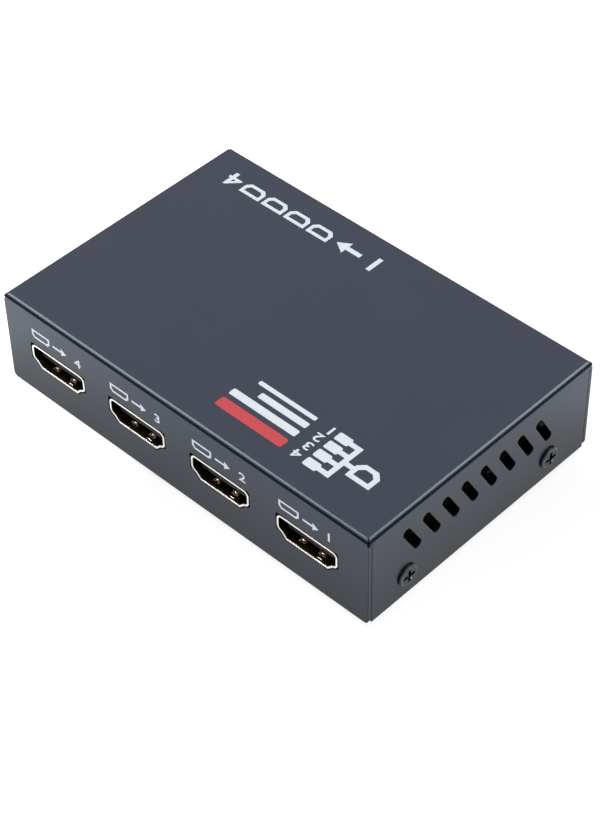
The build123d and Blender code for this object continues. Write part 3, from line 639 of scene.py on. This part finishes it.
class Stencil:
    # flat shapes drawn in millimetres, cut from thin ink and laid on a face
    def __init__(self):
        self.sheet = bmesh.new()

    def corners(self, points):
        return [self.sheet.verts.new((x * mm, y * mm, 0)) for x, y in points]

    def outline(self, points):
        self.sheet.faces.new(self.corners(points))

    def bar(self, x, y, width, height):
        self.outline(((x, y), (x + width, y), (x + width, y + height), (x, y + height)))

    def roundedBar(self, x, y, width, height, radius, steps):
        self.outline(roundedBox(x, y, width, height, radius, steps))

    def ring(self, outer, inner):
        far, near = self.corners(outer), self.corners(inner)
        for step in range(len(far)):
            after = (step + 1) % len(far)
            self.sheet.faces.new((far[step], far[after], near[after], near[step]))

    def plug(self, x, y, width, height, line):
        # the outline of a receptacle: wide on top, with its lower corners cut
        def edge(inset):
            left, right = x + inset, x + width - inset
            low, high = y + inset, y + height - inset
            cut = ink["cut"] * height - ink["innerCut"] * inset
            return ((left, high), (left, low + cut), (left + cut, low), (right - cut, low),
                    (right, low + cut), (right, high))
        self.ring(edge(0), edge(line))

    def arrow(self, x, y, length, thick, head):
        neck, wing = x + length - head, head * ink["wing"]
        self.bar(x, y - thick / 2, length - head, thick)
        self.outline(((neck, y - wing), (x + length, y), (neck, y + wing)))

    def number(self, text, x, y, height, wide):
        # digits in the built-in font, as tall as height and stretched sideways by wide
        curve = bpy.data.curves.new("digits", "FONT")
        curve.body = text
        curve.resolution_u = ink["digitSteps"]
        curve.offset = ink["digitWeight"]
        letter = bpy.data.objects.new("digits", curve)
        scene.collection.objects.link(letter)
        bpy.context.view_layer.update()
        mesh = bpy.data.meshes.new_from_object(letter)
        high, low = (pick(point.co.y for point in mesh.vertices) for pick in (max, min))
        left = min(point.co.x for point in mesh.vertices)
        size = height * mm / (high - low)
        mesh.transform(Matrix.Diagonal((size * wide, size, 1, 1)) @ Matrix.Translation((-left, -low, 0)))
        mesh.transform(Matrix.Translation((x * mm, y * mm, 0)))
        self.sheet.from_mesh(mesh)
        bpy.data.objects.remove(letter)
        bpy.data.curves.remove(curve)
        bpy.data.meshes.remove(mesh)

    def lay(self, name, finish, origin, across, up):
        # origin is the drawing's zero on the face, across and up its two directions
        across, up = Vector(across), Vector(up)
        out = across.cross(up)
        thick = bmesh.ops.extrude_face_region(self.sheet, geom=self.sheet.faces[:])
        raised = [part for part in thick["geom"] if isinstance(part, bmesh.types.BMVert)]
        bmesh.ops.translate(self.sheet, verts=raised, vec=(0, 0, ink["thickness"]))
        bmesh.ops.recalc_face_normals(self.sheet, faces=self.sheet.faces)
        for face in self.sheet.faces:
            face.smooth = False
        place = Vector([value * mm for value in origin]) + out * ink["lift"]
        addPiece(name, self.sheet, finish, standAt(place, across, up, out))


def roundedBox(x, y, width, height, radius, steps):
    left, right = x + radius, x + width - radius
    low, high = y + radius, y + height - radius
    points = []
    for turn, (cx, cy) in enumerate(((right, high), (left, high), (left, low), (right, low))):
        for step in range(steps + 1):
            angle = (turn + step / steps) * pi / 2
            points.append((cx + radius * cos(angle), cy + radius * sin(angle)))
    return points


# over each output: a receptacle's outline, an arrow out of it and the output's number
portMarks = {
    "base": 16.2,
    "plug": {"x": -6.8, "y": 0.0, "width": 5.0, "height": 2.1, "line": 0.45},
    "arrow": {"x": -0.9, "y": 1.05, "length": 3.9, "thick": 0.5, "head": 1.5},
    "number": {"x": 5.2, "y": 0.0, "height": 2.1, "wide": 1.25},
}


def printPortMarks(settings):
    for number, x in enumerate(case["outputs"], start=1):
        mark = Stencil()
        mark.plug(**settings["plug"])
        mark.arrow(**settings["arrow"])
        mark.number(str(number), **settings["number"])
        origin = (x, -case["wall"], settings["base"])
        mark.lay(f"port_mark_{number}", paleInk, origin, (1, 0, 0), (0, 0, 1))


printPortMarks(portMarks)

# on the top, beside the outputs: one line that branches into four, and plain bars
treeMark = {
    "place": (39.0, -14.3, case["top"]),
    "plug": {"x": 0.0, "y": 3.0, "width": 5.6, "height": 4.4, "line": 1.05},
    "trunk": {"x": 5.6, "y": 4.75, "width": 1.6, "height": 1.1},
    "spine": {"x": 7.2, "y": 0.6, "width": 1.1, "height": 9.46},
    "first": 1.15, "apart": 2.77,
    "branch": {"x": 8.3, "width": 1.7, "height": 1.1},
    "box": {"x": 10.0, "width": 3.2, "height": 2.1, "radius": 0.35, "steps": 3},
    "number": {"x": 14.4, "height": 2.1, "wide": 1.35},
    "bars": {"x": 18.6, "radius": 0.3, "steps": 3},
    "barRows": ((5.0, 16.6, 1.7), (2.4, 12.0, 1.5), (0.3, 14.4, 1.0)),  # level, width and height of each
    "red": {"x": 18.6, "y": 7.9, "width": 16.6, "height": 2.5, "radius": 0.5, "steps": 4},
}
# the top's prints read from the back, so their across is -X and their up is -Y
topAcross, topUp = (-1, 0, 0), (0, -1, 0)


def printTree(settings):
    tree = Stencil()
    tree.plug(**settings["plug"])
    tree.bar(**settings["trunk"])
    tree.bar(**settings["spine"])
    branch, box, number = (settings[name] for name in ("branch", "box", "number"))
    for output in range(len(case["outputs"])):
        level = settings["first"] + settings["apart"] * output
        tree.bar(y=level - branch["height"] / 2, **branch)
        tree.roundedBar(y=level - box["height"] / 2, **box)
        tree.number(str(output + 1), y=level - number["height"] / 2, **number)
    tree.lay("tree_mark", whiteInk, settings["place"], topAcross, topUp)
    bars = Stencil()
    for low, width, height in settings["barRows"]:
        bars.roundedBar(y=low, width=width, height=height, **settings["bars"])
    bars.lay("bar_mark", whiteInk, settings["place"], topAcross, topUp)
    red = Stencil()
    red.roundedBar(**settings["red"])
    red.lay("red_mark", redInk, settings["place"], topAcross, topUp)


# along the top's back edge: one, an arrow, four receptacles and the number four
lineMark = {
    "place": (0.3, 25.5, case["top"]),
    "one": {"x": 0.3, "y": 0.0, "height": 4.2, "wide": 1.35},
    "arrow": {"x": 4.4, "y": 2.1, "length": 6.4, "thick": 1.1, "head": 2.8},
    "plug": {"y": 0.5, "width": 5.4, "height": 3.2, "line": 0.8},
    "firstPlug": 12.4, "apart": 6.15,
    "four": {"x": 37.4, "y": 0.0, "height": 4.2, "wide": 1.2},
}


def printLine(settings):
    line = Stencil()
    line.number("1", **settings["one"])
    line.arrow(**settings["arrow"])
    for output in range(len(case["outputs"])):
        line.plug(x=settings["firstPlug"] + settings["apart"] * output, **settings["plug"])
    line.number("4", **settings["four"])
    line.lay("line_mark", whiteInk, settings["place"], topAcross, topUp)


printTree(treeMark)
printLine(lineMark)

# back wall, read from the back: an arrow into the input, a ring by the light and a barrel plug's rings by
# the jack
backMarks = {
    "places": {"input": (case["input"], 16.2), "light": (19.5, 16.2), "jack": (38.9, 15.1)},
    "arrow": {"x": -5.6, "y": 1.05, "length": 3.9, "thick": 0.42, "head": 1.4},
    "plug": {"x": -1.0, "y": 0.0, "width": 5.0, "height": 2.1, "line": 0.38},
    "lightRing": ((-0.75, 0.3, 1.5, 1.5, 0.74, 6), (-0.45, 0.6, 0.9, 0.9, 0.44, 6)),
    "ray": {"y": 0.9, "width": 0.5, "height": 0.3}, "rayOut": 1.35,
    "jackRing": ((-1.6, -1.6, 3.2, 3.2, 1.55, 8), (-1.2, -1.2, 2.4, 2.4, 1.16, 8)),
    "jackPin": (-0.55, -0.55, 1.1, 1.1, 0.54, 6),
}


def printBackMarks(settings):
    marks = {name: Stencil() for name in settings["places"]}
    marks["input"].arrow(**settings["arrow"])
    marks["input"].plug(**settings["plug"])
    marks["light"].ring(*(roundedBox(*box) for box in settings["lightRing"]))
    for side in (-1, 1):
        ray = settings["ray"]
        marks["light"].bar(x=side * settings["rayOut"] - ray["width"] / 2, **ray)
    marks["jack"].ring(*(roundedBox(*box) for box in settings["jackRing"]))
    marks["jack"].roundedBar(*settings["jackPin"])
    for name, mark in marks.items():
        x, z = settings["places"][name]
        mark.lay(f"{name}_mark", paleInk, (x, case["wall"], z), (-1, 0, 0), (0, 0, 1))


printBackMarks(backMarks)
print("marks printed")

# dimples pressed up in the two floor tabs of every shell, and a low lip in front of one, which catch the
# light; the lip stands only for a glint and, like the dimples, takes a painted highlight in pale gold; depth
# is how far inside the mouth, and every length is in millimetres
dimples = {
    "apart": 4.8, "depth": 1.95, "height": 9.36, "steps": 20, "rings": 4,
    "dimple": {"along": 0.42, "across": 0.42, "rise": 0.16},
    "lipShift": 2.57, "lipDepth": 0.58, "lipHeight": 9.09,
    "lip": {"along": 0.68, "across": 0.075, "rise": 0.075},
}


def pressDome(pressed, centre, steps, levels, along, across, rise):
    # half an egg, standing on the plane through its centre
    turns = [2 * pi * step / steps for step in range(steps)]
    rings = []
    for level in range(levels):
        lean = level / levels * pi / 2
        points = [(along * cos(lean) * cos(turn), across * cos(lean) * sin(turn), rise * sin(lean))
                  for turn in turns]
        rings.append([pressed.verts.new(mm * (centre + Vector(point))) for point in points])
    top = pressed.verts.new(mm * (centre + Vector((0, 0, rise))))
    for step in range(steps):
        after = (step + 1) % steps
        for lower, upper in zip(rings, rings[1:]):
            pressed.faces.new((lower[step], lower[after], upper[after], upper[step]))
        pressed.faces.new((rings[-1][step], rings[-1][after], top))


def pressDimples(settings):
    finish = makeGrained("glintGold", glintGold)
    mouths = [(f"output_dimples_{number}", x, -1) for number, x in enumerate(case["outputs"], start=1)]
    mouths.append(("input_dimples", case["input"], 1))
    steps, rings = settings["steps"], settings["rings"]
    for name, x, side in mouths:
        pressed = bmesh.new()
        for way in (-1, 1):
            y = side * (case["wall"] - settings["depth"])
            centre = Vector((x + way * settings["apart"] / 2, y, settings["height"]))
            pressDome(pressed, centre, steps, rings, **settings["dimple"])
        y = side * (case["wall"] - settings["lipDepth"])
        centre = Vector((x - side * settings["lipShift"], y, settings["lipHeight"]))
        pressDome(pressed, centre, steps, rings, **settings["lip"])
        for face in pressed.faces:
            face.smooth = True
        addPiece(name, pressed, finish)


pressDimples(dimples)
print("dimples pressed")

bpy.context.view_layer.update()
